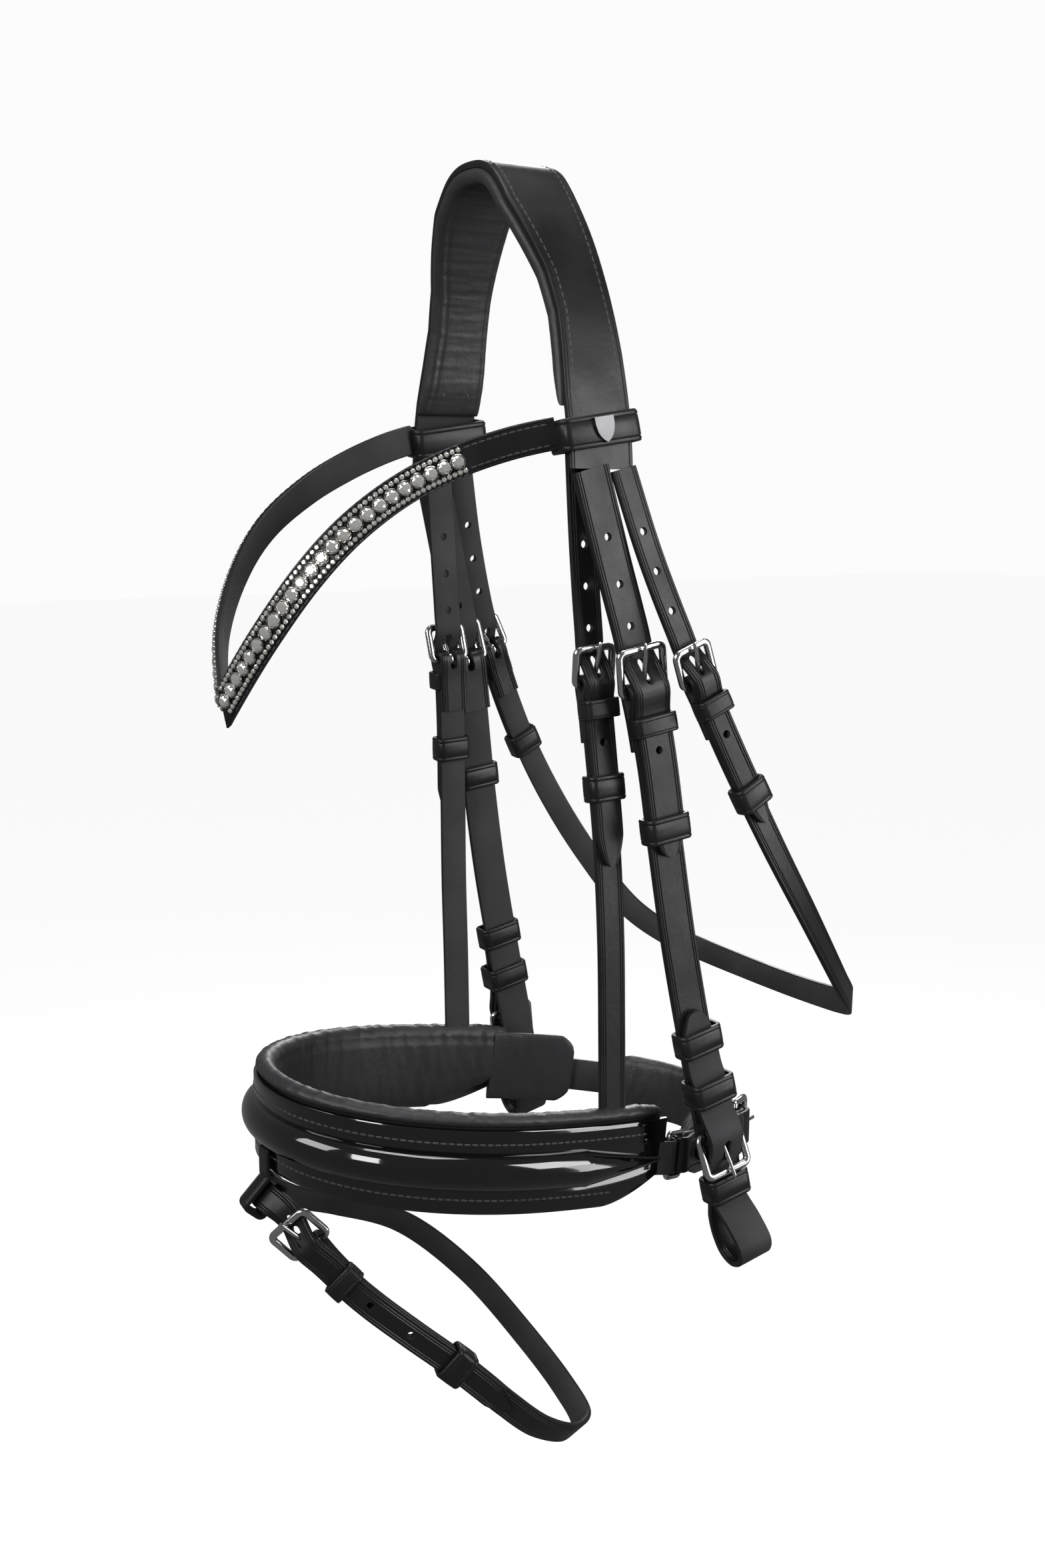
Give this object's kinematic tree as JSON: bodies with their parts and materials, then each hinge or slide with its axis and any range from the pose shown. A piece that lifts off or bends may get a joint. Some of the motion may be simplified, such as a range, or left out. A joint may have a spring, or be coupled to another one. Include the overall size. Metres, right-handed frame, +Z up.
{
  "type": "snaffle bridle",
  "caption": "Black leather snaffle bridle with a crystal V browband, padded patent noseband with flash strap, throatlatch, and buckled cheekpieces whose looped ends hold a bit.",
  "frame": {"origin": "the poll: the middle of the underside of the crown padding, where the bridle rests on the horse's head", "axes": "+Z up along the head towards the crown, +X to the horse's left (near) side, -Y towards the front of the horse's face"},
  "size_m": [0.2023, 0.2981, 0.5654],
  "materials": {
    "leather": "smooth black bridle leather, semi-gloss outside, matt inside",
    "patent_leather": "high-gloss black patent leather",
    "padded_lining": "soft black nappa leather over foam",
    "steel": "polished stainless steel",
    "crystal": "clear faceted crystals in silver settings"
  },
  "bodies": {
    "headpiece": {"crown_leather": "leather", "crown_padding": "padded_lining"},
    "browband": {"browband_strap": "leather", "browband_loop_near": "leather", "browband_loop_far": "leather", "browband_crystals": "crystal", "browband_badge": "steel"},
    "cheekpiece_near": {"cheek_billet_near": "leather", "cheek_strap_near": "leather", "cheek_buckle_near": "steel", "bit_buckle_near": "steel", "bit_keeper_lower_near": "leather", "bit_keeper_upper_near": "leather"},
    "cheekpiece_far": {"cheek_billet_far": "leather", "cheek_strap_far": "leather", "cheek_buckle_far": "steel", "bit_buckle_far": "steel", "bit_keeper_lower_far": "leather", "bit_keeper_upper_far": "leather"},
    "throatlatch": {"throatlatch_strap": "leather", "throat_billet_near": "leather", "throat_buckle_near": "steel", "throat_billet_far": "leather", "throat_buckle_far": "steel"},
    "noseband": {"hanger_billet_near": "leather", "hanger_strap_near": "leather", "hanger_buckle_near": "steel", "hanger_billet_far": "leather", "hanger_strap_far": "leather", "hanger_buckle_far": "steel", "noseband_shell": "patent_leather", "noseband_padding": "padded_lining", "chin_pad": "padded_lining", "chin_strap": "leather", "chin_billet": "leather", "chin_ring_near": "steel", "chin_ring_far": "steel", "chin_buckle": "steel", "flash_tab": "leather"},
    "flash": {"flash_strap": "leather", "flash_buckle": "steel"},
    "cheek_tongue_near": {"cheek_tongue_near": "steel"},
    "bit_tongue_near": {"bit_tongue_near": "steel"},
    "cheek_runner_near": {"cheek_runner_near": "leather"},
    "bit_runner_near": {"bit_runner_near": "leather"},
    "hanger_tongue_near": {"hanger_tongue_near": "steel"},
    "hanger_runner_near": {"hanger_runner_near": "leather"},
    "throat_tongue_near": {"throat_tongue_near": "steel"},
    "throat_runner_near": {"throat_runner_near": "leather"},
    "cheek_tongue_far": {"cheek_tongue_far": "steel"},
    "bit_tongue_far": {"bit_tongue_far": "steel"},
    "cheek_runner_far": {"cheek_runner_far": "leather"},
    "bit_runner_far": {"bit_runner_far": "leather"},
    "hanger_tongue_far": {"hanger_tongue_far": "steel"},
    "hanger_runner_far": {"hanger_runner_far": "leather"},
    "throat_tongue_far": {"throat_tongue_far": "steel"},
    "throat_runner_far": {"throat_runner_far": "leather"},
    "chin_tongue": {"chin_tongue": "steel"},
    "flash_tongue": {"flash_tongue": "steel"},
    "flash_runner": {"flash_runner": "leather"}
  },
  "joints": [
    {"name": "browband_slide", "type": "slide", "parent": "headpiece", "child": "browband", "axis": [0, 0, 1], "range_m": [-0.002, 0.001]},
    {"name": "cheekpiece_near_swing", "type": "hinge", "parent": "headpiece", "child": "cheekpiece_near", "pos_m": [0.0687, -0.0095, -0.11635], "axis": [-0.7071, -0.7071, 0], "range_deg": [0, 30]},
    {"name": "cheekpiece_far_swing", "type": "hinge", "parent": "headpiece", "child": "cheekpiece_far", "pos_m": [-0.0687, -0.0095, -0.11635], "axis": [-0.7071, 0.7071, 0], "range_deg": [0, 30]},
    {"name": "throatlatch_swing", "type": "hinge", "parent": "headpiece", "child": "throatlatch", "pos_m": [0, 0.0222, -0.1163], "axis": [1, 0, 0], "range_deg": [0, 30]},
    {"name": "noseband_swing", "type": "hinge", "parent": "headpiece", "child": "noseband", "pos_m": [0, -0.0015, -0.103], "axis": [1, 0, 0], "range_deg": [-10, 0]},
    {"name": "flash_tilt", "type": "hinge", "parent": "noseband", "child": "flash", "pos_m": [0, -0.1203, -0.4195], "axis": [1, 0, 0], "range_deg": [-9, 9]},
    {"name": "cheek_tongue_near_lift", "type": "hinge", "parent": "cheekpiece_near", "child": "cheek_tongue_near", "pos_m": [0.0746, 0.02164, -0.206], "axis": [0, 0.9842, 0.1769], "range_deg": [0, 12]},
    {"name": "bit_tongue_near_lift", "type": "hinge", "parent": "cheekpiece_near", "child": "bit_tongue_near", "pos_m": [0.08604, 0.05517, -0.39738], "axis": [0, -0.9784, -0.2068], "range_deg": [0, 12]},
    {"name": "cheek_runner_near_slide", "type": "slide", "parent": "cheekpiece_near", "child": "cheek_runner_near", "axis": [0.0392, 0.1322, -0.9904], "range_m": [-0.015, 0.004]},
    {"name": "bit_runner_near_slide", "type": "slide", "parent": "cheekpiece_near", "child": "bit_runner_near", "axis": [0.028, 0.2064, -0.9781], "range_m": [-0.004, 0.004]},
    {"name": "hanger_tongue_near_lift", "type": "hinge", "parent": "noseband", "child": "hanger_tongue_near", "pos_m": [0.06157, 0.0055, -0.203], "axis": [0, 0.9969, 0.0785], "range_deg": [0, 12]},
    {"name": "hanger_runner_near_slide", "type": "slide", "parent": "noseband", "child": "hanger_runner_near", "axis": [0.0862, 0.0545, -0.9948], "range_m": [-0.01, 0.01]},
    {"name": "throat_tongue_near_lift", "type": "hinge", "parent": "throatlatch", "child": "throat_tongue_near", "pos_m": [0.08507, 0.04219, -0.202], "axis": [0, 0.9275, 0.3737], "range_deg": [0, 12]},
    {"name": "throat_runner_near_slide", "type": "slide", "parent": "throatlatch", "child": "throat_runner_near", "axis": [0.0697, 0.463, -0.8836], "range_m": [-0.005, 0.003]},
    {"name": "cheek_tongue_far_lift", "type": "hinge", "parent": "cheekpiece_far", "child": "cheek_tongue_far", "pos_m": [-0.0746, 0.02164, -0.206], "axis": [0, -0.9842, -0.1769], "range_deg": [0, 12]},
    {"name": "bit_tongue_far_lift", "type": "hinge", "parent": "cheekpiece_far", "child": "bit_tongue_far", "pos_m": [-0.08569, 0.05282, -0.38638], "axis": [0, 0.9775, 0.2108], "range_deg": [0, 12]},
    {"name": "cheek_runner_far_slide", "type": "slide", "parent": "cheekpiece_far", "child": "cheek_runner_far", "axis": [-0.0392, 0.1322, -0.9904], "range_m": [-0.015, 0.004]},
    {"name": "bit_runner_far_slide", "type": "slide", "parent": "cheekpiece_far", "child": "bit_runner_far", "axis": [-0.0255, 0.2004, -0.9794], "range_m": [-0.004, 0.004]},
    {"name": "hanger_tongue_far_lift", "type": "hinge", "parent": "noseband", "child": "hanger_tongue_far", "pos_m": [-0.06157, 0.0055, -0.203], "axis": [0, -0.9969, -0.0785], "range_deg": [0, 12]},
    {"name": "hanger_runner_far_slide", "type": "slide", "parent": "noseband", "child": "hanger_runner_far", "axis": [-0.0862, 0.0545, -0.9948], "range_m": [-0.01, 0.01]},
    {"name": "throat_tongue_far_lift", "type": "hinge", "parent": "throatlatch", "child": "throat_tongue_far", "pos_m": [-0.08507, 0.04219, -0.202], "axis": [0, -0.9275, -0.3737], "range_deg": [0, 12]},
    {"name": "throat_runner_far_slide", "type": "slide", "parent": "throatlatch", "child": "throat_runner_far", "axis": [-0.0697, 0.463, -0.8836], "range_m": [-0.005, 0.003]},
    {"name": "chin_tongue_lift", "type": "hinge", "parent": "noseband", "child": "chin_tongue", "pos_m": [0.0345, 0.105, -0.421], "axis": [0.0641, -0.0608, -0.9961], "range_deg": [0, 12]},
    {"name": "flash_tongue_lift", "type": "hinge", "parent": "flash", "child": "flash_tongue", "pos_m": [0.01669, -0.10526, -0.44015], "axis": [0.426, 0.6054, 0.6723], "range_deg": [0, 12]},
    {"name": "flash_runner_slide", "type": "slide", "parent": "flash", "child": "flash_runner", "axis": [-0.1847, -0.7146, 0.6747], "range_m": [-0.002, 0.002]}
  ]
}
